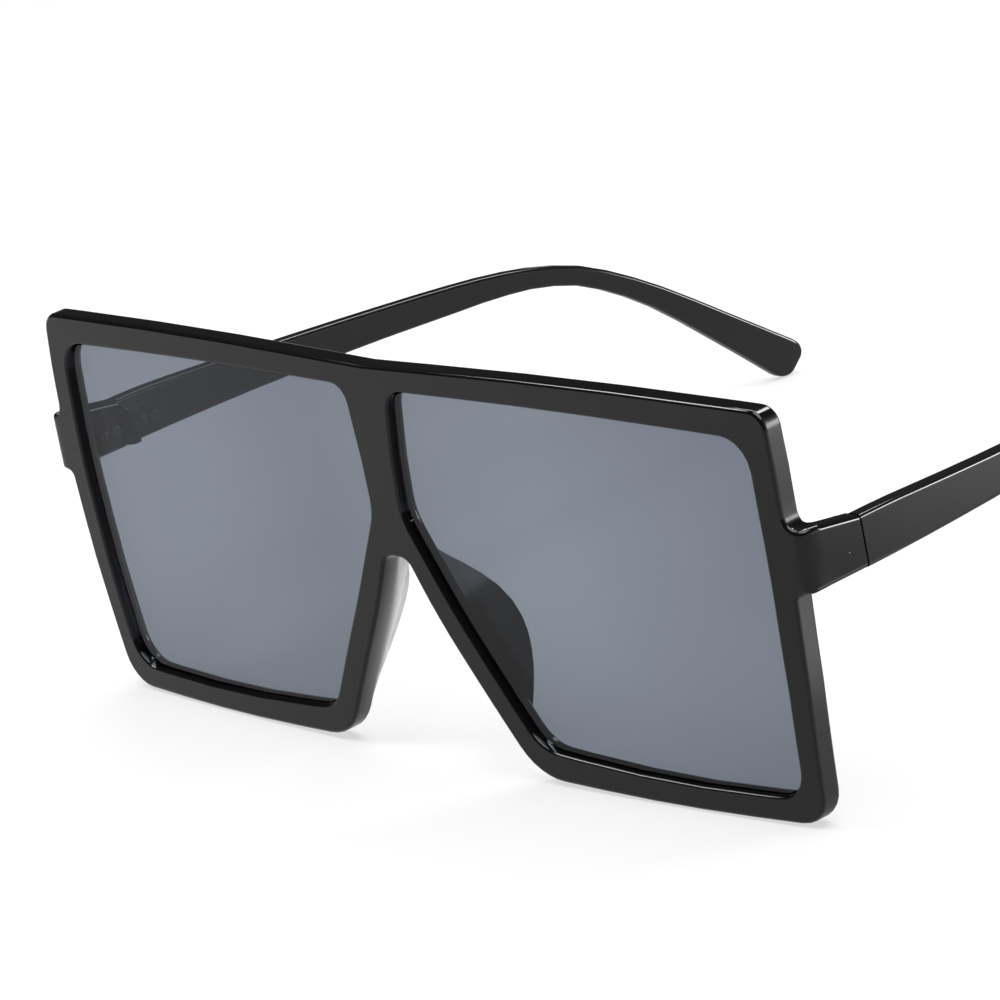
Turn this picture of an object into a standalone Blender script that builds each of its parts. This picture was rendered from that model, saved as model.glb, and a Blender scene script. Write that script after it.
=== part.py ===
"""Square flat-top sunglasses: a moulded front, two tinted lenses and two folding temples on metal hinges.

Metres, +Z up. The front looks towards -Y, the temples run towards +Y, and +X is the wearer's left.
The sunglasses stand open on the rim bottoms and the temple tips.
Shapes are first drawn upright, with the front standing straight on z = 0, and are then leaned back.
"""
import bpy
import bmesh
import math
from mathutils import Matrix, Vector

# overall sizes
rims_width = 0.148
rims_half = rims_width / 2
rims_height = 0.0577
rim_depth = 0.0031
wrap_radius = 0.855
drop_radius = 0.485
middle_height = 0.0300

# clearances
fit_gap = 0.0003
seam_gap = 0.0003

weld_grid = 0.0000005

# rim edges and lens groove
edge_round = 0.00055
opening_round = 0.0004
groove_front = 0.0010
groove_width = 0.0013
groove_slope = 0.0002
groove_depth = 0.0009

# end pieces
side_reach = 0.0769
turn_round = 0.0015
end_thick = 0.0031
end_web = 0.0022
end_web_run = 0.0024
end_bury = 0.0006
end_skin = 0.00002
end_corner = 0.0007
end_run = 0.0071
wrap_at_side = wrap_radius - math.sqrt(wrap_radius ** 2 - side_reach ** 2)
seam_back = wrap_at_side + rim_depth + end_run
hinge_below_top = 0.02125
hinge_height = rims_height - hinge_below_top
hinge_tall = 0.0071
end_top_rise = 0.0012
end_out_share = side_reach / rims_half
end_low_share = (hinge_height - hinge_tall / 2) / rims_height
end_top_share = (hinge_height + hinge_tall / 2 + end_top_rise) / rims_height
end_corner_share = end_corner / min(side_reach - rims_half, hinge_tall + end_top_rise)

# each corner: across as a share of the half width, up as a share of the height, and how much of the
# shorter side beside it the rounding takes; rim and opening corners are listed in matching order
rim_corner_shares = (
    (0.000, 0.987, 0.00),
    (0.520, 1.006, 0.79),
    (0.991, 0.982, 0.33),
    (0.998, 0.850, 0.00),
    (1.000, end_top_share, 0.62),
    (end_out_share, end_top_share, end_corner_share),
    (end_out_share, end_low_share, end_corner_share),
    (1.000, end_low_share, 0.32),
    (0.989, 0.350, 0.00),
    (0.962, 0.010, 0.23),
    (0.610, 0.000, 0.52),
    (0.261, 0.012, 0.19),
    (0.082, 0.381, 0.60),
    (0.030, 0.520, 0.65),
    (0.000, 0.520, 0.00),
)
opening_corner_shares = (
    (0.060, 0.931, 0.26),
    (0.490, 0.938, 0.69),
    (0.940, 0.914, 0.86),
    (0.944, 0.830, 0.00),
    (0.946, 0.730, 0.00),
    (0.947, 0.680, 0.00),
    (0.947, 0.600, 0.00),
    (0.946, 0.550, 0.00),
    (0.938, 0.330, 0.00),
    (0.921, 0.072, 0.27),
    (0.605, 0.056, 0.72),
    (0.286, 0.087, 0.14),
    (0.131, 0.412, 0.28),
    (0.041, 0.625, 0.28),
    (0.045, 0.760, 0.00),
)
corner_steps = (4, 3, 5, 1, 4, 3, 3, 4, 1, 6, 3, 6, 4, 5, 1)
side_parts = (5, 6, 3, 3, 1, 3, 1, 2, 4, 5, 5, 7, 4, 1, 4)

# bands across the front face, close together where the end piece turns back
front_band_shares = (0.10, 0.20, 0.34, 1.0)

# nose pads, moulded on behind the rims from this corner of the outline onward
nose_corner = 11
pad_reach = 0.0064
pad_flare = 0.47
pad_edge = 0.0016
pad_inside = 0.0034
pad_top_height = 0.0310
pad_bottom_height = 0.0061

# temples
temple_thick = 0.0025
temple_thin_share = 0.88
slope_probe_share = 0.004
tip_thinning_share = 0.30
temple_round = 0.0006
bow_start = 0.0160
tip_back = 0.1276
tip_inset = 0.0186
bow_power = 1.8
tip_round = 0.0021
# back as a share of the reach to the tip, middle as a share of the hinge height,
# and width as a share of the height at the hinge
temple_station_shares = (
    (0.000, 1.000, 1.000),
    (0.055, 1.000, 0.985),
    (0.232, 0.987, 0.815),
    (0.408, 0.973, 0.675),
    (0.514, 0.962, 0.610),
    (0.585, 0.953, 0.530),
    (0.655, 0.928, 0.455),
    (0.726, 0.862, 0.430),
    (0.815, 0.693, 0.475),
    (0.921, 0.418, 0.690),
    (1.000, 0.203, 0.900),
)

# hinges
pin_clear = 0.0003
hinge_drop = 0.0003
knuckle_radius = 0.0012
knuckle_tall = 0.00135
leaf_thick = 0.0007
leaf_tall = 0.0046
leaf_reach = 0.0042
pin_radius = 0.00045
pin_head_radius = 0.0009
pin_head_tall = 0.00035
pin_slot_wide = 0.0003
pin_slot_deep = 0.0002
fixing_radius = 0.00040
fixing_head_radius = 0.00095
fixing_head_tall = 0.00035
fixing_bite = 0.0012
fixing_first = 0.0025
fixing_pitch = 0.0022

# lenses
lens_thick = 0.0015
lens_front = 0.0009
tongue_thick = 0.0007
tongue_slope = 0.0002
tongue_reach = 0.0009
lens_ring_shares = (0.60,)
lens_middle_share = (0.50, 0.52)


# clearing
def clear_scene():
    for item in list(bpy.data.objects):
        bpy.data.objects.remove(item, do_unlink=True)
    for mesh in list(bpy.data.meshes):
        bpy.data.meshes.remove(mesh)
    for material in list(bpy.data.materials):
        bpy.data.materials.remove(material)


# materials
def make_material(name, colour, roughness, metallic=0.0):
    material = bpy.data.materials.new(name)
    material.use_nodes = True
    shader = material.node_tree.nodes["Principled BSDF"]
    shader.inputs["Base Color"].default_value = (*colour, 1.0)
    shader.inputs["Roughness"].default_value = roughness
    shader.inputs["Metallic"].default_value = metallic
    material.diffuse_color = (*colour, 1.0)
    return material


def black_plastic():
    return make_material("black_gloss_plastic", (0.018, 0.018, 0.020), 0.22)


def smoke_lens():
    return make_material("smoke_grey_lens", (0.200, 0.215, 0.250), 0.08)


def hinge_metal():
    return make_material("hinge_steel", (0.46, 0.46, 0.47), 0.32, 1.0)


def screw_metal():
    return make_material("screw_steel", (0.60, 0.60, 0.61), 0.25, 1.0)


# outlines
def rounded_corner(before, corner, after, run_share, steps):
    """Points of the arc that rounds one corner, or the corner itself repeated when it is sharp."""
    if run_share == 0.0:
        return [corner.copy() for _ in range(steps + 1)]
    run = run_share * min((before - corner).length, (after - corner).length)
    arm_in = (before - corner).normalized()
    arm_out = (after - corner).normalized()
    half_angle = arm_in.angle(arm_out) / 2
    middle = corner + (arm_in + arm_out).normalized() * (run / math.cos(half_angle))
    first = corner + arm_in * run - middle
    last = corner + arm_out * run - middle
    turn = first.angle(last)
    points = []
    for step in range(steps + 1):
        share = step / steps
        weight_first = math.sin((1 - share) * turn) / math.sin(turn)
        weight_last = math.sin(share * turn) / math.sin(turn)
        points.append(middle + first * weight_first + last * weight_last)
    return points


def outline_from(shares, closed):
    """Rounded outline through the corners, with the sides between them cut into parts."""
    corners = [Vector((across * rims_half, up * rims_height, 0.0)) for across, up, _ in shares]
    count = len(corners)
    arcs = []
    for index in range(count):
        before = corners[(index - 1) % count]
        after = corners[(index + 1) % count]
        run_share = shares[index][2]
        arcs.append(rounded_corner(before, corners[index], after, run_share, corner_steps[index]))
    if not closed:
        arcs[0] = arcs[0][:1]
        arcs[-1] = arcs[-1][:1]
    points = []
    for index, arc in enumerate(arcs):
        points.extend(arc)
        if index == count - 1 and not closed:
            break
        following = arcs[(index + 1) % count][0]
        parts = side_parts[index]
        for part in range(1, parts):
            points.append(arc[-1].lerp(following, part / parts))
    return points


def outward_normals(points, closed):
    """Unit normals on the left-hand side of travel turned outward for a clockwise outline."""
    unique = []
    owner = []
    for point in points:
        if not unique or (point - unique[-1]).length > end_skin / 4:
            unique.append(point)
        owner.append(len(unique) - 1)
    if closed and (unique[0] - unique[-1]).length < end_skin / 4:
        last = len(unique) - 1
        unique.pop()
        owner = [0 if index == last else index for index in owner]
    count = len(unique)
    normals = []
    for index in range(count):
        if closed or 0 < index < count - 1:
            arm_in = (unique[index] - unique[(index - 1) % count]).normalized()
            arm_out = (unique[(index + 1) % count] - unique[index]).normalized()
            along = (arm_in + arm_out).normalized()
        elif index == 0:
            along = Vector((1.0, 0.0, 0.0))
        else:
            along = Vector((-1.0, 0.0, 0.0))
        normals.append(Vector((-along.y, along.x, 0.0)))
    return [normals[index] for index in owner]


# placing on the curved front
def corner_drop(across):
    """How far the front surface turns back where the end piece rounds its corner."""
    into = abs(across) - (side_reach - turn_round)
    if into <= 0.0:
        return 0.0
    into = min(into, turn_round)
    return turn_round - math.sqrt(max(turn_round ** 2 - into ** 2, 0.0))


def front_surface(across, up):
    wrap = wrap_radius - math.sqrt(wrap_radius ** 2 - across ** 2)
    drop = drop_radius - math.sqrt(drop_radius ** 2 - (up - middle_height) ** 2)
    return wrap + drop


def on_front(across, up, depth):
    turned = corner_drop(across)
    kept = depth + turned * max(1 - depth / rim_depth, 0.0)
    return Vector((across, front_surface(across, up) + kept, up))


# small mesh helpers
class Skin:
    """Collects faces, joining points that lie on each other."""

    def __init__(self):
        self.mesh = bmesh.new()
        self.known = {}

    def point(self, place):
        key = tuple(round(value / weld_grid) for value in place)
        if key not in self.known:
            self.known[key] = self.mesh.verts.new(place)
        return self.known[key]

    def face(self, places):
        corners = []
        for place in places:
            vert = self.point(place)
            if vert not in corners:
                corners.append(vert)
        if len(corners) > 2 and self.mesh.faces.get(corners) is None:
            self.mesh.faces.new(corners)

    def band(self, row_a, row_b, closed):
        count = len(row_a)
        for index in range(count if closed else count - 1):
            after = (index + 1) % count
            self.face((row_a[index], row_a[after], row_b[after], row_b[index]))


def finish_mesh(name, mesh, material, origin=Vector((0.0, 0.0, 0.0)), smooth_angle=math.radians(32)):
    bmesh.ops.recalc_face_normals(mesh, faces=mesh.faces)
    data = bpy.data.meshes.new(name)
    for vert in mesh.verts:
        vert.co -= origin
    mesh.to_mesh(data)
    mesh.free()
    item = bpy.data.objects.new(name, data)
    bpy.context.scene.collection.objects.link(item)
    data.materials.append(material)
    item.location = origin
    data.shade_smooth()
    data.set_sharp_from_angle(angle=smooth_angle)
    return item


def hang_on_pin(item, side):
    """Puts the item's own origin on the hinge pin's axis without moving the item."""
    origin = Vector((side * pin_across(), seam_back, pin_height()))
    item.data.transform(Matrix.Translation(item.location - origin))
    item.location = origin
    return item


def combine(item, other, operation):
    """Join or cut with the exact solver, then drop the helper body."""
    change = item.modifiers.new("combine", "BOOLEAN")
    change.operation = operation
    change.solver = "EXACT"
    change.object = other
    other.hide_render = True
    other.display_type = "WIRE"
    bpy.context.view_layer.update()
    graph = bpy.context.evaluated_depsgraph_get()
    result = bpy.data.meshes.new_from_object(item.evaluated_get(graph))
    item.modifiers.remove(change)
    old = item.data
    item.data = result
    bpy.data.meshes.remove(old)
    bpy.data.objects.remove(other, do_unlink=True)


def round_bar(skin, centre, axis_rows, sides):
    """Closed turned body along X, Y or Z: rows of (place on the axis, radius)."""
    axis, rows = axis_rows
    rings = []
    for along, radius in rows:
        ring = []
        for side in range(sides):
            angle = 2 * math.pi * side / sides
            first = radius * math.cos(angle)
            second = radius * math.sin(angle)
            if axis == "Z":
                offset = Vector((first, second, along))
            else:
                offset = Vector((along, first, second))
            ring.append(centre + offset)
        rings.append(ring)
    for ring_a, ring_b in zip(rings, rings[1:]):
        skin.band(ring_a, ring_b, True)
    skin.face(rings[0])
    skin.face(list(reversed(rings[-1])))


# front frame
def pad_share(up):
    """How far the nose pad has grown at this height, from nothing to full and back."""
    share = (pad_top_height - up) / (pad_top_height - pad_bottom_height)
    if share <= 0.0 or share >= 1.0:
        return 0.0
    return math.sin(share * math.pi)


def outer_section(place, on_nose):
    """Inward distance and depth of the rim's outer edge, with the nose pad where there is one."""
    rounding = edge_round
    section = []
    for step in range(3):
        angle = step * math.pi / 4
        section.append((rounding * (1 - math.sin(angle)), rounding * (1 - math.cos(angle))))
    on_end_piece = place.x > rims_half + edge_round and not on_nose
    back_round = 0.0 if on_end_piece else edge_round
    grown = pad_share(place.y) if on_nose else 0.0
    back = rim_depth - back_round
    plain = [
        (0.0, back),
        (back_round * (1 - math.cos(math.pi / 4)), back + back_round * math.sin(math.pi / 4)),
        (back_round, rim_depth),
        (back_round, rim_depth),
        (back_round, rim_depth),
        (back_round, rim_depth),
    ]
    full = rim_depth + pad_reach
    lean = pad_flare * (full - back)
    padded = [
        (0.0, back),
        (lean * 0.34, back + (full - back) * 0.34),
        (lean * 0.93, back + (full - back) * 0.93),
        (lean + pad_edge * 0.35, full),
        (lean + pad_edge, full - pad_edge * 0.5),
        (pad_inside, rim_depth),
    ]
    for flat, raised in zip(plain, padded):
        section.append(tuple(a + (b - a) * grown for a, b in zip(flat, raised)))
    return section


def inner_section():
    """Outward distance and depth of the opening's edge, with the groove for the lens."""
    groove_back = groove_front + groove_width
    return [
        (opening_round, 0.0),
        (opening_round * (1 - math.sin(math.pi / 4)), opening_round * (1 - math.cos(math.pi / 4))),
        (0.0, opening_round),
        (0.0, groove_front),
        (groove_depth, groove_front + groove_slope),
        (groove_depth, groove_back - groove_slope),
        (0.0, groove_back),
        (0.0, rim_depth - opening_round),
        (opening_round, rim_depth),
    ]


def front_loops():
    """The rim outline with its centre line, and the opening outline matched to it."""
    rim = outline_from(rim_corner_shares, False)
    opening = outline_from(opening_corner_shares, True)
    return rim, opening


def build_front_shell(skin, side):
    rim, opening = front_loops()
    rim_out = outward_normals(rim, False)
    opening_out = outward_normals(opening, True)
    nose_from = sum(corner_steps[1:nose_corner]) + sum(side_parts[:nose_corner])
    rows = []
    for index, place in enumerate(rim):
        section = outer_section(place, index >= nose_from)
        rows.append([(place - rim_out[index] * inward, depth) for inward, depth in section])
    inner_rows = []
    inner = inner_section()
    first_opening = corner_steps[0]
    order = list(range(first_opening, len(opening))) + list(range(first_opening))
    for index in order:
        place = opening[index]
        inner_rows.append([(place + opening_out[index] * out, depth) for out, depth in inner])

    def settle(pair):
        flat, depth = pair
        placed = on_front(flat.x, flat.y, depth)
        placed.x *= side
        return placed

    rim_count = len(rows)
    for row_a, row_b in zip(rows, rows[1:]):
        skin.band([settle(pair) for pair in row_a], [settle(pair) for pair in row_b], False)
    for index in range(len(inner_rows)):
        row_a = inner_rows[index]
        row_b = inner_rows[(index + 1) % len(inner_rows)]
        skin.band([settle(pair) for pair in row_a], [settle(pair) for pair in row_b], False)
    rest = len(inner_rows) - rim_count
    for face_end in (0, -1):
        outer_loop = [row[face_end] for row in rows]
        top = outer_loop[0]
        low = outer_loop[-1]
        for step in range(1, rest + 1):
            flat = low[0].lerp(top[0], step / (rest + 1))
            outer_loop.append((flat, low[1]))
        inner_loop = [row[face_end] for row in inner_rows]
        previous = outer_loop
        for share in front_band_shares if face_end == 0 else (1.0,):
            following = []
            for outer, inner_pair in zip(outer_loop, inner_loop):
                flat = outer[0].lerp(inner_pair[0], share)
                following.append((flat, outer[1]))
            skin.band([settle(pair) for pair in previous], [settle(pair) for pair in following], True)
            previous = following


def end_piece_section(back, side):
    """Rounded oblong across the end piece at a distance behind the front."""
    run = min(max((back - end_start()) / (seam_back - end_start()), 0.0), 1.0)
    outside = side_reach - end_skin
    web = end_web * max(1 - (back - end_start()) / end_web_run, 0.0) ** 2
    inside = side_reach - end_thick - web
    low = hinge_height - hinge_tall / 2 + end_skin
    high = hinge_height + hinge_tall / 2 + end_top_rise * (1 - run) - end_skin
    return rounded_oblong(inside, outside, low, high, end_corner, back, side)


def rounded_oblong(inside, outside, low, high, radius, back, side):
    ring = []
    steps = 3
    centres = (
        (outside - radius, high - radius, 0.0),
        (inside + radius, high - radius, math.pi / 2),
        (inside + radius, low + radius, math.pi),
        (outside - radius, low + radius, 3 * math.pi / 2),
    )
    for centre_x, centre_z, start in centres:
        for step in range(steps + 1):
            angle = start + step / steps * math.pi / 2
            place_x = centre_x + radius * math.cos(angle)
            place_z = centre_z + radius * math.sin(angle)
            ring.append(Vector((side * place_x, back, place_z)))
    return ring


def end_start():
    return front_surface(side_reach, hinge_height) + rim_depth - end_bury


def build_end_piece(side, material):
    skin = Skin()
    start = end_start()
    seam = seam_back - seam_gap / 2
    stops = (0.0, 0.12, 0.25, 0.38, 0.55, 1.0)
    rings = [end_piece_section(start + (seam - start) * share, side) for share in stops]
    for ring_a, ring_b in zip(rings, rings[1:]):
        skin.band(ring_a, ring_b, True)
    skin.face(rings[0])
    skin.face(rings[-1])
    return finish_mesh("end_piece_body", skin.mesh, material)


def fixing_backs(direction):
    """Distances behind the front of the two fixing screws of a leaf, ahead of or behind the pin."""
    return [seam_back + direction * (fixing_first + fixing_pitch * number) for number in range(2)]


def pin_across():
    return side_reach - end_thick - pin_clear - knuckle_radius


def pin_height():
    return hinge_height - hinge_drop


def leaf_inside():
    return side_reach - end_thick - fit_gap - leaf_thick


def leaf_outside(direction):
    """The leaf's face on the plastic; the temple is thinner than the end piece, so its leaf is thicker."""
    plastic = end_thick if direction < 0 else temple_thick
    return side_reach - plastic - fit_gap


def build_fixing_hole(side, back, surface, height, material):
    skin = Skin()
    depth = fixing_bite + fit_gap
    rows = (-fit_gap * 3, fixing_radius + fit_gap), (depth, fixing_radius + fit_gap)
    centre = Vector((surface, back, height))
    round_bar(skin, centre, ("X", rows), 12)
    if side < 0:
        for vert in skin.mesh.verts:
            vert.co.x = -vert.co.x
    return finish_mesh("fixing_hole", skin.mesh, material)


def build_front_frame(material):
    skin = Skin()
    for side in (1, -1):
        build_front_shell(skin, side)
    frame = finish_mesh("front_frame", skin.mesh, material)
    for side in (1, -1):
        combine(frame, build_end_piece(side, material), "UNION")
    for side in (1, -1):
        for back in fixing_backs(-1):
            surface = side_reach - end_thick
            combine(frame, build_fixing_hole(side, back, surface, pin_height(), material), "DIFFERENCE")
    frame.name = "front_frame"
    frame.data.name = "front_frame"
    frame.data.shade_smooth()
    frame.data.set_sharp_from_angle(angle=math.radians(32))
    return frame


# lenses
def build_lens(name, side, material):
    skin = Skin()
    opening = outline_from(opening_corner_shares, True)
    normals = outward_normals(opening, True)
    middle = Vector((lens_middle_share[0] * rims_half, lens_middle_share[1] * rims_height, 0.0))
    back = lens_front + lens_thick
    tongue_middle = groove_front + groove_width / 2
    tongue_front = tongue_middle - tongue_thick / 2
    tongue_back = tongue_middle + tongue_thick / 2
    edge = [
        (-fit_gap, lens_front),
        (-fit_gap, tongue_front),
        (tongue_reach - fit_gap, tongue_front + tongue_slope),
        (tongue_reach - fit_gap, tongue_back - tongue_slope),
        (-fit_gap, tongue_back),
        (-fit_gap, back),
    ]

    def settle(flat, depth):
        placed = on_front(flat.x, flat.y, depth)
        placed.x *= side
        return placed

    loops = []
    for out, depth in edge:
        loops.append([settle(place + normal * out, depth) for place, normal in zip(opening, normals)])
    for loop_a, loop_b in zip(loops, loops[1:]):
        skin.band(loop_a, loop_b, True)
    for depth, previous in ((lens_front, loops[0]), (back, loops[-1])):
        for share in lens_ring_shares:
            following = []
            for place, normal in zip(opening, normals):
                flat = middle.lerp(place - normal * fit_gap, share)
                following.append(settle(flat, depth))
            skin.band(previous, following, True)
            previous = following
        centre = settle(middle, depth)
        for index in range(len(previous)):
            skin.face((previous[index], previous[(index + 1) % len(previous)], centre))
    origin = on_front(middle.x, middle.y, lens_front + lens_thick / 2)
    origin.x *= side
    return finish_mesh(name, skin.mesh, material, origin)


# temples
def smooth_value(rows, column, share):
    """Cubic curve through one column of a table, with the slopes of its neighbours."""
    last = len(rows) - 1
    index = 0
    while index < last - 1 and share > rows[index + 1][0]:
        index += 1
    low, high = rows[index], rows[index + 1]
    before = rows[max(index - 1, 0)]
    after = rows[min(index + 2, last)]
    span = high[0] - low[0]
    slope_low = (high[column] - before[column]) / (high[0] - before[0])
    slope_high = (after[column] - low[column]) / (after[0] - low[0])
    part = (share - low[0]) / span
    square, cube = part ** 2, part ** 3
    value = low[column] * (2 * cube - 3 * square + 1) + slope_low * span * (cube - 2 * square + part)
    value += high[column] * (3 * square - 2 * cube) + slope_high * span * (cube - square)
    return value


def temple_centre(share):
    start = seam_back + seam_gap / 2
    back = start + share * (tip_back - start)
    return back, smooth_value(temple_station_shares, 1, share) * hinge_height


def temple_outside(back):
    into = max(back - bow_start, 0.0) / (tip_back - bow_start)
    return side_reach - end_skin - tip_inset * into ** bow_power


def temple_section(share, shrink, side):
    """Rounded oblong square to the temple's run in side view."""
    back, height = temple_centre(share)
    back_a, height_a = temple_centre(max(share - slope_probe_share, 0.0))
    back_b, height_b = temple_centre(min(share + slope_probe_share, 1.0))
    lean = math.atan2(height_b - height_a, back_b - back_a)
    if share < slope_probe_share:
        lean = 0.0
    wide = smooth_value(temple_station_shares, 2, share) * hinge_tall
    thick = temple_thick * (1 + (temple_thin_share - 1) * min(share * 2, 1.0))
    outside = temple_outside(back)
    half_wide = wide / 2 - shrink
    half_thick = thick / 2 - shrink * tip_thinning_share
    radius = min(temple_round, half_thick * 0.9, half_wide * 0.9)
    centre_x = outside - thick / 2
    ring = rounded_oblong(-half_thick, half_thick, -half_wide, half_wide, radius, 0.0, 1)
    placed = []
    for point in ring:
        place_y = back - point.z * math.sin(lean)
        place_z = height + point.z * math.cos(lean)
        bowed = temple_outside(place_y) - outside
        placed.append(Vector((side * (centre_x + point.x + bowed), place_y, place_z)))
    return placed


def build_temple(name, side, material):
    skin = Skin()
    rings = []
    whole = [0.0, 0.03, 0.06, 0.10, 0.15, 0.21, 0.28, 0.35, 0.42, 0.48, 0.53, 0.57, 0.61, 0.645, 0.68]
    whole += [0.715, 0.75, 0.785, 0.82, 0.86, 0.90, 0.94]
    length = tip_back - seam_back
    for share in whole:
        rings.append(temple_section(share, 0.0, side))
    for turn in range(0, 6):
        angle = turn * math.pi / 10
        share = 1.0 - tip_round * (1 - math.sin(angle)) / length
        rings.append(temple_section(share, tip_round * (1 - math.cos(angle)), side))
    for ring_a, ring_b in zip(rings, rings[1:]):
        skin.band(ring_a, ring_b, True)
    skin.face(rings[0])
    skin.face(rings[-1])
    origin = Vector((side * pin_across(), seam_back, pin_height()))
    temple = finish_mesh(name, skin.mesh, material, origin)
    for back in fixing_backs(1):
        surface = side_reach - temple_thick
        hole = build_fixing_hole(side, back, surface, pin_height(), material)
        combine(temple, hole, "DIFFERENCE")
    temple.data.name = name
    temple.data.shade_smooth()
    temple.data.set_sharp_from_angle(angle=math.radians(32))
    return temple


# hinges
def knuckle_floor(level):
    """Lower end of the knuckle at level 0, 1 or 2."""
    stack = knuckle_tall * 3 + fit_gap * 2
    return pin_height() - stack / 2 + level * (knuckle_tall + fit_gap)


def box_body(name, low, high, side, material):
    skin = Skin()
    corners = [[Vector((side * x, y, z)) for x, y in ((low.x, low.y), (high.x, low.y), (high.x, high.y),
                                                      (low.x, high.y))] for z in (low.z, high.z)]
    skin.band(corners[0], corners[1], True)
    skin.face(corners[0])
    skin.face(corners[1])
    return finish_mesh(name, skin.mesh, material)


def round_body(name, centre, axis, rows, sides, side, material):
    skin = Skin()
    round_bar(skin, centre, (axis, rows), sides)
    for vert in skin.mesh.verts:
        vert.co.x *= side
    return finish_mesh(name, skin.mesh, material)


def build_leaf(name, side, direction, levels, material):
    """Flat leaf with its knuckles: towards the front when direction is -1, towards the tip when +1."""
    outside = leaf_outside(direction)
    inside = leaf_inside()
    clear = knuckle_radius + fit_gap
    ends = sorted((seam_back + direction * clear, seam_back + direction * (clear + leaf_reach)))
    low = Vector((inside, ends[0], pin_height() - leaf_tall / 2))
    high = Vector((outside, ends[1], pin_height() + leaf_tall / 2))
    leaf = box_body(name, low, high, side, material)
    overlap = clear + leaf_thick
    for level in levels:
        floor = knuckle_floor(level)
        reach = sorted((seam_back, seam_back + direction * overlap))
        arm_low = Vector((inside + end_skin, reach[0], floor))
        arm_high = Vector((inside + leaf_thick - end_skin, reach[1], floor + knuckle_tall))
        combine(leaf, box_body("arm", arm_low, arm_high, side, material), "UNION")
        rows = ((floor - end_skin, knuckle_radius), (floor + knuckle_tall + end_skin, knuckle_radius))
        centre = Vector((pin_across(), seam_back, 0.0))
        combine(leaf, round_body("knuckle", centre, "Z", rows, 16, side, material), "UNION")
    bore = pin_radius + fit_gap
    rows = ((pin_height() - leaf_tall, bore), (pin_height() + leaf_tall, bore))
    centre = Vector((pin_across(), seam_back, 0.0))
    combine(leaf, round_body("bore", centre, "Z", rows, 12, side, material), "DIFFERENCE")
    for back in fixing_backs(direction):
        bore = fixing_radius + fit_gap
        rows = ((inside - leaf_thick, bore), (outside + leaf_thick, bore))
        centre = Vector((0.0, back, pin_height()))
        combine(leaf, round_body("bore", centre, "X", rows, 12, side, material), "DIFFERENCE")
    leaf.data.name = name
    return leaf


def build_pin(name, side, material):
    """Hinge screw: slotted head on top, shank down through the three knuckles."""
    base = knuckle_floor(0)
    top = knuckle_floor(2) + knuckle_tall + fit_gap
    rows = ((base, pin_radius * 0.7), (base + pin_radius * 0.4, pin_radius), (top, pin_radius),
            (top, pin_head_radius), (top + pin_head_tall * 0.6, pin_head_radius),
            (top + pin_head_tall, pin_head_radius * 0.7))
    centre = Vector((pin_across(), seam_back, 0.0))
    pin = round_body(name, centre, "Z", rows, 16, side, material)
    slot_floor = top + pin_head_tall - pin_slot_deep
    low = Vector((pin_across() - pin_head_radius * 2, seam_back - pin_slot_wide / 2, slot_floor))
    high = Vector((pin_across() + pin_head_radius * 2, seam_back + pin_slot_wide / 2, top + pin_head_tall * 2))
    combine(pin, box_body("slot", low, high, side, material), "DIFFERENCE")
    pin.data.name = name
    return pin


def build_fixing(name, side, back, direction, material):
    """Small screw through a leaf into the plastic, its head on the leaf's inner side."""
    under_head = leaf_inside() - fit_gap
    point = leaf_outside(direction) + fit_gap + fixing_bite
    rows = ((-fixing_head_tall, fixing_head_radius * 0.7), (-fixing_head_tall * 0.4, fixing_head_radius),
            (0.0, fixing_head_radius), (0.0, fixing_radius),
            (point - under_head, fixing_radius * 0.7))
    centre = Vector((under_head, back, pin_height()))
    return round_body(name, centre, "X", rows, 10, side, material)


# leaning back on the table
def resting_lean(items):
    """Angle that brings the lowest front points and the lowest tip points level."""
    front = []
    rear = []
    for item in items:
        for vert in item.data.vertices:
            place = item.location + vert.co
            (front if place.y < tip_back / 2 else rear).append((place.y, place.z))
    low_angle, high_angle = -math.pi / 8, math.pi / 8
    for _ in range(60):
        middle = (low_angle + high_angle) / 2
        slope = math.tan(middle)
        front_low = min(z - slope * y for y, z in front)
        rear_low = min(z - slope * y for y, z in rear)
        if rear_low > front_low:
            low_angle = middle
        else:
            high_angle = middle
    return middle


def lean_back(items, angle):
    """Turns everything about the X axis and sets it down centred on the origin."""
    turn = Matrix.Rotation(-angle, 4, "X")
    bounds = []
    for item in items:
        origin = turn @ item.location
        item.data.transform(turn)
        item.data.update()
        item.location = origin
        bounds.extend(origin + vert.co for vert in item.data.vertices)
    floor = min(place.z for place in bounds)
    middle = (min(place.y for place in bounds) + max(place.y for place in bounds)) / 2
    for item in items:
        item.location.z -= floor
        item.location.y -= middle


def main():
    clear_scene()
    plastic = black_plastic()
    tint = smoke_lens()
    steel = hinge_metal()
    bright = screw_metal()
    items = [build_front_frame(plastic)]
    for word, side in (("left", 1), ("right", -1)):
        items.append(build_lens(word + "_lens", side, tint))
        items.append(build_temple(word + "_temple", side, plastic))
        hinge = [build_leaf(word + "_front_hinge_leaf", side, -1, (0, 2), steel)]
        hinge.append(build_leaf(word + "_temple_hinge_leaf", side, 1, (1,), steel))
        hinge.append(build_pin(word + "_hinge_screw", side, bright))
        for place, direction in (("front", -1), ("temple", 1)):
            for number, back in enumerate(fixing_backs(direction), start=1):
                name = "%s_%s_leaf_screw_%d" % (word, place, number)
                hinge.append(build_fixing(name, side, back, direction, bright))
        items.extend(hang_on_pin(item, side) for item in hinge)
    lean_back(items, resting_lean(items))


main()
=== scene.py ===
"""Square sunglasses lying open on a pale table."""
import math

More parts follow.
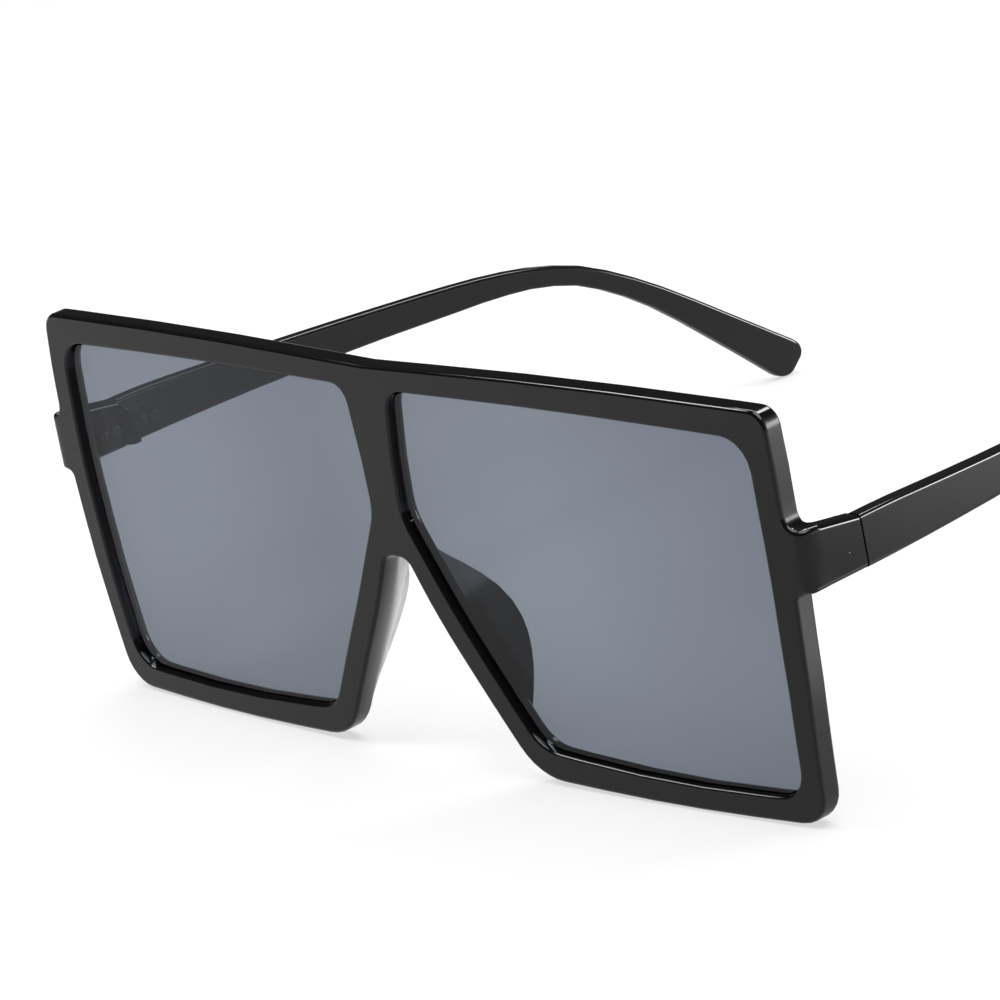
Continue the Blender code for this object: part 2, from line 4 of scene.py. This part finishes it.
import bmesh
import bpy
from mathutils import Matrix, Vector


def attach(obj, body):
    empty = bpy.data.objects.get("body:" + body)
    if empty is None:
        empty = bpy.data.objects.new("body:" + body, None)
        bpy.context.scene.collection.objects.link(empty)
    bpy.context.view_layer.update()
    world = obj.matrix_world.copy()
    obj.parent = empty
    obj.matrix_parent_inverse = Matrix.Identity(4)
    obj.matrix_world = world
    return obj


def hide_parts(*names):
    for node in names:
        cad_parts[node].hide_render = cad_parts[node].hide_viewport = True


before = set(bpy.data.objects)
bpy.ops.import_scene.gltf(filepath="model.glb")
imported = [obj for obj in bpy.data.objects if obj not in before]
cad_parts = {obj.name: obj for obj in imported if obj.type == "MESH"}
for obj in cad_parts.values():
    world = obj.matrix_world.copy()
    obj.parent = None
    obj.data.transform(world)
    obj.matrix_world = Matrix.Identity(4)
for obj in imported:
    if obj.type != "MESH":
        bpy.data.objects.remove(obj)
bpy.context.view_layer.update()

# Lengths are in metres and angles in degrees.
as_it_is = (1.0, 1.0, 1.0)
white = (1.0, 1.0, 1.0, 1.0)

# camera, at the photograph's viewing angle
camera_place = (0.601004, -0.512249, 0.298123)
camera_angles = (70.08201, 13.07266, 47.39408)
camera_lens = 215.529
camera_sensor = 36.0
camera_reach = 50.0

# smoothing
join_gap = 0.000001
crease_angle = 34.0
rounding_angle = 50.0
rounding_width = 0.00046
flat_angle = 5.0
level_angle = 1.5
quad_skew = 120.0
fold_angle = 130.0
flat_fold_angle = 165.0

# black plastic
deep_black = (0.0036, 0.0036, 0.0040)
pale_black = (0.0062, 0.0062, 0.0067)
# painted sheen: the side walls' milled black is painted lighter for the light they catch
milled_black_painted_lighter = (0.020, 0.020, 0.021)
milled_extra_roughness = 0.16
# painted light: these lifts paint the plastic lighter, and the temples' is painted twice as
# light as the front's
front_lift = 1.0
temple_painted_light_lift = 2.0
black_patch = 0.018
smear = 0.011
smear_stretch = (1.0, 0.6, 1.6)
wiped_roughness = 0.07
smeared_roughness = 0.15
dust_grey = (0.34, 0.34, 0.33)
dust_spacing = 0.0075
dust_share = 0.014
dust_core_share = 0.6
ripple = 0.0035
ripple_height = 0.00002
ripple_strength = 0.12
plastic_ior = 1.50

# where the rims' side walls begin and end, from the middle outwards
wall_start, wall_full = 0.056, 0.066
lug_start, lug_full = 0.0743, 0.0748

# lenses
dark_dye = (0.770, 0.812, 0.898)
# painted light: the lenses' tint is painted paler in their middles and stays darker by the rims
dye_painted_paler = (0.868, 0.930, 1.0)
painted_light_centres = ((-0.052, -0.081, 0.032), (0.028, -0.061, 0.031))
painted_light_inner, painted_light_outer = 0.008, 0.050
painted_light_patch = 0.022
painted_light_unevenness = 0.012
film_black = (0.004, 0.005, 0.007, 1.0)
film_share = 0.50
film_ior = 1.75
wiped_patch = 0.016
film_smooth, film_smeared = 0.02, 0.06

# table and sky
table_size = 12.0
table_drop = 0.00004
table_grey = (0.93, 0.93, 0.93, 1.0)
table_white_share = 0.62
shadow_inner, shadow_outer = 0.15, 0.45
table_mirrored_share = 0.95
table_mirrored_light = 0.42
left_extra_light = 0.16
sky_mirrored_light = 0.03

# the Mix node's colour sockets, which share their names with its other kinds
mix_share, mix_under, mix_over, mix_result = 0, 6, 7, 2


# node helpers, for a material or the world
def new_material(name):
    material = bpy.data.materials.new(name)
    material.use_nodes = True
    material.node_tree.nodes.clear()
    return material


def add_node(material, kind, **inputs):
    node = material.node_tree.nodes.new(kind)
    for name, value in inputs.items():
        node.inputs[name.replace("_", " ")].default_value = value
    return node


def join(material, source, target):
    material.node_tree.links.new(source, target)


def surface_shader(material):
    shader = add_node(material, "ShaderNodeBsdfPrincipled")
    output = add_node(material, "ShaderNodeOutputMaterial")
    join(material, shader.outputs["BSDF"], output.inputs["Surface"])
    return shader


def object_place(material, stretch=as_it_is):
    coordinates = add_node(material, "ShaderNodeTexCoord")
    mapping = add_node(material, "ShaderNodeMapping")
    mapping.inputs["Scale"].default_value = stretch
    join(material, coordinates.outputs["Object"], mapping.inputs["Vector"])
    return mapping.outputs["Vector"]


def axes_of(material, vector):
    split = add_node(material, "ShaderNodeSeparateXYZ")
    join(material, vector, split.inputs["Vector"])
    return split.outputs


def work_out(material, operation, *values):
    """One sum. Each value is another node's output or a plain number."""
    node = add_node(material, "ShaderNodeMath")
    node.operation = operation
    for socket, value in zip(node.inputs, values):
        if isinstance(value, float):
            socket.default_value = value
        else:
            join(material, value, socket)
    return node.outputs[0]


def raise_by(material, value, share, amount):
    return work_out(material, "MULTIPLY_ADD", share, amount, value)


def distance_to(material, place, middle):
    reach = add_node(material, "ShaderNodeVectorMath")
    reach.operation = "DISTANCE"
    reach.inputs[1].default_value = middle
    join(material, place, reach.inputs[0])
    return reach.outputs["Value"]


def clouds(material, place, size, detail=3.0, roughness=0.5):
    """Soft uneven patches of about this size."""
    noise = add_node(
        material, "ShaderNodeTexNoise", Scale=1.0 / size, Detail=detail, Roughness=roughness)
    join(material, place, noise.inputs["Vector"])
    return noise.outputs["Fac"]


def remap(material, value, low, high, new_low, new_high):
    change = add_node(
        material, "ShaderNodeMapRange",
        From_Min=low, From_Max=high, To_Min=new_low, To_Max=new_high)
    join(material, value, change.inputs["Value"])
    return change.outputs["Result"]


def paint_over(material, share, under, colour):
    mix = add_node(material, "ShaderNodeMix")
    mix.data_type = "RGBA"
    mix.inputs[mix_over].default_value = (*colour, 1.0)
    join(material, share, mix.inputs[mix_share])
    join(material, under, mix.inputs[mix_under])
    return mix.outputs[mix_result]


def shade_between(material, value, first, second):
    mix = add_node(material, "ShaderNodeMix")
    mix.data_type = "RGBA"
    mix.inputs[mix_under].default_value = (*first, 1.0)
    mix.inputs[mix_over].default_value = (*second, 1.0)
    join(material, value, mix.inputs[mix_share])
    return mix.outputs[mix_result]


def blend_shaders(material, share, first, second):
    mix = add_node(material, "ShaderNodeMixShader")
    join(material, share, mix.inputs["Fac"])
    join(material, first, mix.inputs[1])
    join(material, second, mix.inputs[2])
    return mix.outputs["Shader"]


def specks(material, place, spacing, share):
    """1 on sparse specks, which take up this share of the spacing, and 0 between them."""
    cells = add_node(material, "ShaderNodeTexVoronoi", Scale=1.0 / spacing)
    join(material, place, cells.inputs["Vector"])
    core = share * dust_core_share
    return remap(material, cells.outputs["Distance"], core, share, 1.0, 0.0)


def relief(material, shader, value, height, strength):
    bump = add_node(material, "ShaderNodeBump", Distance=height, Strength=strength)
    join(material, value, bump.inputs["Height"])
    join(material, bump.outputs["Normal"], shader.inputs["Normal"])


# finishes
def milled_and_painted_wall_share(material):
    """1 on the rims' outer side walls, which are milled and less polished and are painted
    lighter as painted sheen, and 0 on the polished rest.
    """
    geometry = add_node(material, "ShaderNodeNewGeometry")
    facing = axes_of(material, geometry.outputs["Normal"])["X"]
    across = axes_of(material, object_place(material))["X"]
    outward = work_out(material, "MULTIPLY", across, facing)
    on_side = remap(material, outward, wall_start, wall_full, 0.0, 1.0)
    from_middle = work_out(material, "ABSOLUTE", across)
    before_lug = remap(material, from_middle, lug_start, lug_full, 1.0, 0.0)
    return work_out(material, "MULTIPLY", on_side, before_lug)


def black_plastic(name, milled_sides_painted_lighter, painted_light_lift):
    """Glossy moulding with a faint ripple, smears from handling and a little dust."""
    material = new_material(name)
    shader = surface_shader(material)
    place = object_place(material)
    patches = clouds(material, place, black_patch, detail=4.0)
    # painted light: the lift paints the whole moulding lighter, the temples twice as light as
    # the front
    deep = tuple(painted_light_lift * tone for tone in deep_black)
    pale = tuple(painted_light_lift * tone for tone in pale_black)
    body = shade_between(material, patches, deep, pale)
    smears = clouds(
        material, object_place(material, smear_stretch), smear, detail=5.0, roughness=0.62)
    gloss = remap(
        material, smears, low=0.35, high=0.72,
        new_low=wiped_roughness, new_high=smeared_roughness)
    # the side walls are milled and rougher, and their colour is painted lighter as painted
    # sheen
    if milled_sides_painted_lighter:
        milled_and_painted_wall = milled_and_painted_wall_share(material)
        body = paint_over(material, milled_and_painted_wall, body, milled_black_painted_lighter)
        gloss = raise_by(material, gloss, milled_and_painted_wall, milled_extra_roughness)
    dust = specks(material, place, dust_spacing, dust_share)
    body = paint_over(material, dust, body, dust_grey)
    join(material, body, shader.inputs["Base Color"])
    join(material, gloss, shader.inputs["Roughness"])
    waves = clouds(material, place, ripple, detail=2.0)
    relief(material, shader, waves, ripple_height, ripple_strength)
    shader.inputs["IOR"].default_value = plastic_ior
    return material


def painted_light_middle(material):
    """1 in the inner part of each lens, whose tint is painted a little paler for the light seen
    there, and 0 by the rims.
    """
    place = object_place(material)
    reaches = [distance_to(material, place, middle) for middle in painted_light_centres]
    nearest = work_out(material, "MINIMUM", *reaches)
    patches = clouds(material, place, painted_light_patch, detail=2.0)
    uneven = raise_by(material, nearest, patches, painted_light_unevenness)
    return remap(material, uneven, painted_light_inner, painted_light_outer, 1.0, 0.0)


def smoke_tinted_lens():
    """Smoke grey plastic: part of each face is see-through, and the rest is glossy film."""
    material = new_material("smoke_tinted_lens")
    film = add_node(material, "ShaderNodeBsdfPrincipled", Base_Color=film_black, IOR=film_ior)
    wiped = clouds(material, object_place(material), wiped_patch, detail=4.0)
    roughness = remap(
        material, wiped, low=0.4, high=0.75, new_low=film_smooth, new_high=film_smeared)
    join(material, roughness, film.inputs["Roughness"])
    clear = add_node(material, "ShaderNodeBsdfTransparent")
    # painted light: the tint is painted paler in the middle of each lens and darker by the rims
    tint_and_painted_light = shade_between(material, painted_light_middle(material), dark_dye, dye_painted_paler)
    join(material, tint_and_painted_light, clear.inputs["Color"])
    mix = add_node(material, "ShaderNodeMixShader", Fac=film_share)
    output = add_node(material, "ShaderNodeOutputMaterial")
    join(material, clear.outputs["BSDF"], mix.inputs[1])
    join(material, film.outputs["BSDF"], mix.inputs[2])
    join(material, mix.outputs["Shader"], output.inputs["Surface"])
    return material


def marked_steel(name, stretch, mark, detail, tones, gloss, mark_height, mark_strength):
    """Dark steel with the fine marks of the tool that made it."""
    material = new_material(name)
    shader = surface_shader(material)
    shader.inputs["Metallic"].default_value = 1.0
    marks = clouds(material, object_place(material, stretch), mark, detail=detail)
    join(material, shade_between(material, marks, *tones), shader.inputs["Base Color"])
    smoothest, roughest = gloss
    roughness = remap(
        material, marks, low=0.3, high=0.7, new_low=smoothest, new_high=roughest)
    join(material, roughness, shader.inputs["Roughness"])
    relief(material, shader, marks, mark_height, mark_strength)
    return material


def brushed_hinge_steel():
    return marked_steel(
        "dark_hinge_steel", stretch=(1.0, 0.12, 1.0), mark=0.00022, detail=4.0,
        tones=((0.012, 0.012, 0.013), (0.030, 0.030, 0.032)), gloss=(0.30, 0.46),
        mark_height=0.000008, mark_strength=0.35)


def turned_screw_steel():
    return marked_steel(
        "turned_screw_steel", stretch=as_it_is, mark=0.00018, detail=5.0,
        tones=((0.03, 0.03, 0.032), (0.07, 0.07, 0.073)), gloss=(0.22, 0.38),
        mark_height=0.000006, mark_strength=0.3)


# making pieces
def pick_nothing():
    bpy.ops.object.select_all(action="DESELECT")


def pick_only(piece):
    pick_nothing()
    piece.select_set(True)
    bpy.context.view_layer.objects.active = piece


def turn_at(edge):
    """How far the surface turns at this edge."""
    return math.degrees(edge.calc_face_angle(0.0))


def level_patches(skin):
    """The surface in patches, each of them faces that go on level into each other."""
    left = set(skin.faces)
    patches = []
    while left:
        waiting = [left.pop()]
        patch = set(waiting)
        while waiting:
            for edge in waiting.pop().edges:
                if len(edge.link_faces) == 2 and turn_at(edge) < level_angle:
                    found = left.intersection(edge.link_faces)
                    left -= found
                    patch |= found
                    waiting.extend(found)
        patches.append(patch)
    return patches


def mean_width(patch):
    area = sum(face.calc_area() for face in patch)
    border = sum(
        edge.calc_length() for face in patch for edge in face.edges
        if not patch.issuperset(edge.link_faces))
    return 2.0 * area / border


def pick_folds(piece):
    """Selects each tiny face that is folded over its neighbours, with the face it lies on."""
    skin = bmesh.from_edit_mesh(piece.data)
    for face in skin.faces:
        face.select_set(False)
    folded = [
        edge for edge in skin.edges if len(edge.link_faces) == 2 and turn_at(edge) > fold_angle]
    flat_folds = {
        face for edge in folded if turn_at(edge) > flat_fold_angle for face in edge.link_faces}
    for edge in folded:
        if turn_at(edge) > flat_fold_angle or flat_folds.isdisjoint(edge.link_faces):
            for face in edge.link_faces:
                face.select_set(True)
    bmesh.update_edit_mesh(piece.data)
    return len(folded)


def pick_roundings(piece):
    """Marks the crisp edges and selects the narrow strips that round the other ones."""
    skin = bmesh.from_edit_mesh(piece.data)
    strips = set()
    for patch in level_patches(skin):
        if mean_width(patch) < rounding_width:
            strips |= patch
    for face in skin.faces:
        face.select_set(face in strips)
    for edge in skin.edges:
        if len(edge.link_faces) == 2:
            rounded = not strips.isdisjoint(edge.link_faces)
            edge.smooth = turn_at(edge) < (rounding_angle if rounded else crease_angle)
    bmesh.update_edit_mesh(piece.data)


def smoothed_copy(node, name):
    """The node's own shape as one skin, smooth up to its crisp edges, with its flats flat."""
    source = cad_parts[node]
    piece = bpy.data.objects.new(name, source.data.copy())
    bpy.context.scene.collection.objects.link(piece)
    piece.data.materials.clear()
    pick_only(piece)
    bpy.ops.object.shade_smooth()
    bpy.ops.object.mode_set(mode="EDIT")
    bpy.ops.mesh.select_all(action="SELECT")
    bpy.ops.mesh.remove_doubles(threshold=join_gap)
    bpy.ops.mesh.select_mode(type="FACE")
    if pick_folds(piece):
        bpy.ops.mesh.dissolve_faces()
    bpy.ops.mesh.select_all(action="SELECT")
    bpy.ops.mesh.tris_convert_to_quads(
        face_threshold=math.radians(flat_angle), shape_threshold=math.radians(quad_skew))
    bpy.ops.mesh.mod_weighted_strength(set=True, face_strength="STRONG")
    pick_roundings(piece)
    bpy.ops.mesh.mod_weighted_strength(set=True, face_strength="WEAK")
    bpy.ops.object.mode_set(mode="OBJECT")
    even = piece.modifiers.new("even_shading", "WEIGHTED_NORMAL")
    even.mode = "CORNER_ANGLE"
    even.keep_sharp = True
    even.use_face_influence = True
    bpy.ops.object.modifier_apply(modifier=even.name)
    return piece


def fit_piece(piece, node, body, material):
    piece.data.materials.append(material)
    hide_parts(node)
    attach(piece, body)


def dress_sunglasses():
    front_plastic = black_plastic("polished_black_front", True, front_lift)
    temple_plastic = black_plastic("polished_black_temple", False, temple_painted_light_lift)
    tint = smoke_tinted_lens()
    leaf_steel = brushed_hinge_steel()
    screw_steel = turned_screw_steel()
    moulding = smoothed_copy("front_frame", "front_moulding")
    fit_piece(moulding, "front_frame", "front", front_plastic)
    for side in ("left", "right"):
        arm = side + "_temple_arm"
        temple = smoothed_copy(side + "_temple", side + "_temple_moulding")
        fit_piece(temple, side + "_temple", arm, temple_plastic)
        lens = smoothed_copy(side + "_lens", side + "_tinted_lens")
        fit_piece(lens, side + "_lens", "front", tint)
        for end, body in (("front", "front"), ("temple", arm)):
            node = side + "_" + end + "_hinge_leaf"
            leaf = smoothed_copy(node, side + "_" + end + "_hinge_plate")
            fit_piece(leaf, node, body, leaf_steel)
            for number in ("1", "2"):
                node = side + "_" + end + "_leaf_screw_" + number
                screw = smoothed_copy(node, side + "_" + end + "_plate_screw_" + number)
                fit_piece(screw, node, body, screw_steel)
        pin = smoothed_copy(side + "_hinge_screw", side + "_hinge_pin")
        fit_piece(pin, side + "_hinge_screw", "front", screw_steel)


# studio
def ray_share(material, kinds, share):
    """This share for the named kinds of ray, and nothing for the others."""
    path = add_node(material, "ShaderNodeLightPath")
    total = path.outputs[kinds[0]]
    for kind in kinds[1:]:
        total = work_out(material, "MAXIMUM", total, path.outputs[kind])
    return work_out(material, "MULTIPLY", total, share)


def pool_of_light(material, place, middle, inner, outer, strength):
    """A round patch of the table, full up to its inner reach and gone at its outer one."""
    reach = distance_to(material, place, middle)
    return remap(material, reach, inner, outer, strength, 0.0)


def table_mirror_light(material):
    """How bright the table looks in the plastic.

    It is dim by the rims, and brighter to the left, behind the bridge and to the right.
    """
    place = object_place(material)
    axes = axes_of(material, place)
    light = remap(
        material, axes["X"], low=0.0, high=-0.15,
        new_low=table_mirrored_light, new_high=table_mirrored_light + left_extra_light)
    right = remap(material, axes["X"], low=0.08, high=0.15, new_low=0.0, new_high=1.0)
    rear = remap(material, axes["Y"], low=0.0, high=0.06, new_low=0.0, new_high=1.0)
    behind_bridge = pool_of_light(
        material, place, middle=(-0.024, -0.024, 0.0), inner=0.004, outer=0.042, strength=1.15)
    beside_rim = pool_of_light(
        material, place, middle=(0.124, -0.026, 0.0), inner=0.010, outer=0.034, strength=2.0)
    light = work_out(material, "MULTIPLY_ADD", right, rear, light)
    for pool in (behind_bridge, beside_rim):
        light = raise_by(material, light, pool, 1.0)
    return light


def table_finish():
    """White to the eye and through the lenses, softer where the plastic mirrors it.

    Near the sunglasses part of it is lit as it is, so that their real shadow shows.
    """
    material = new_material("pale_table")
    lit = add_node(material, "ShaderNodeBsdfDiffuse", Color=table_grey)
    plain = add_node(material, "ShaderNodeEmission", Color=white, Strength=1.0)
    soft = add_node(material, "ShaderNodeEmission", Color=white)
    join(material, table_mirror_light(material), soft.inputs["Strength"])
    mirrored = blend_shaders(
        material, ray_share(material, ("Is Glossy Ray",), table_mirrored_share),
        lit.outputs["BSDF"], soft.outputs["Emission"])
    shaded = pool_of_light(
        material, object_place(material), middle=(0.0, 0.0, 0.0),
        inner=shadow_inner, outer=shadow_outer, strength=1.0 - table_white_share)
    to_the_eye = blend_shaders(
        material, shaded, plain.outputs["Emission"], lit.outputs["BSDF"])
    seen = blend_shaders(
        material, ray_share(material, ("Is Camera Ray", "Is Transmission Ray"), 1.0),
        mirrored, to_the_eye)
    output = add_node(material, "ShaderNodeOutputMaterial")
    join(material, seen, output.inputs["Surface"])
    return material


def pale_table():
    pick_nothing()
    bpy.ops.mesh.primitive_plane_add(size=table_size, location=(0.0, 0.0, -table_drop))
    table = bpy.context.active_object
    table.name = "table_top"
    table.data.materials.append(table_finish())


def studio_sky():
    """White behind the table for the camera, dim for everything that the plastic mirrors."""
    sky = bpy.data.worlds.new("studio_sky")
    bpy.context.scene.world = sky
    sky.use_nodes = True
    sky.node_tree.nodes.clear()
    path = add_node(sky, "ShaderNodeLightPath")
    dim = add_node(sky, "ShaderNodeBackground", Color=white, Strength=sky_mirrored_light)
    plain = add_node(sky, "ShaderNodeBackground", Color=white, Strength=1.0)
    seen = blend_shaders(
        sky, path.outputs["Is Camera Ray"], dim.outputs["Background"],
        plain.outputs["Background"])
    output = add_node(sky, "ShaderNodeOutputWorld")
    join(sky, seen, output.inputs["Surface"])


def soft_sun(name, strength, spread, tilt, turn):
    pick_nothing()
    angles = (math.radians(tilt), 0.0, math.radians(turn))
    bpy.ops.object.light_add(type="SUN", rotation=angles)
    lamp = bpy.context.active_object
    lamp.name = name
    lamp.data.energy = strength
    lamp.data.angle = math.radians(spread)


def softbox(name, power, width, height, place):
    """A rectangular lamp at this place that faces the sunglasses."""
    pick_nothing()
    turn = Vector(place).to_track_quat("Z", "Y").to_euler()
    bpy.ops.object.light_add(type="AREA", location=place, rotation=turn)
    lamp = bpy.context.active_object
    lamp.name = name
    lamp.data.shape = "RECTANGLE"
    lamp.data.size = width
    lamp.data.size_y = height
    lamp.data.energy = power


def photo_camera():
    pick_nothing()
    angles = tuple(math.radians(angle) for angle in camera_angles)
    bpy.ops.object.camera_add(location=camera_place, rotation=angles)
    camera = bpy.context.active_object
    camera.name = "photo_camera"
    camera.data.lens = camera_lens
    camera.data.sensor_width = camera_sensor
    camera.data.clip_end = camera_reach
    bpy.context.scene.camera = camera


dress_sunglasses()
pale_table()
studio_sky()
soft_sun("overhead_softbox", strength=2.5, spread=52.0, tilt=16.0, turn=100.0)
softbox("rear_top_strip", power=5.5, width=1.0, height=0.13, place=(-0.34, 0.60, 0.98))
softbox("rear_softbox", power=9.0, width=0.5, height=0.30, place=(0.80, 0.86, 0.18))
softbox("left_softbox", power=4.5, width=0.33, height=0.33, place=(-0.66, -0.36, 0.90))
photo_camera()
bpy.context.scene.view_settings.view_transform = "Standard"
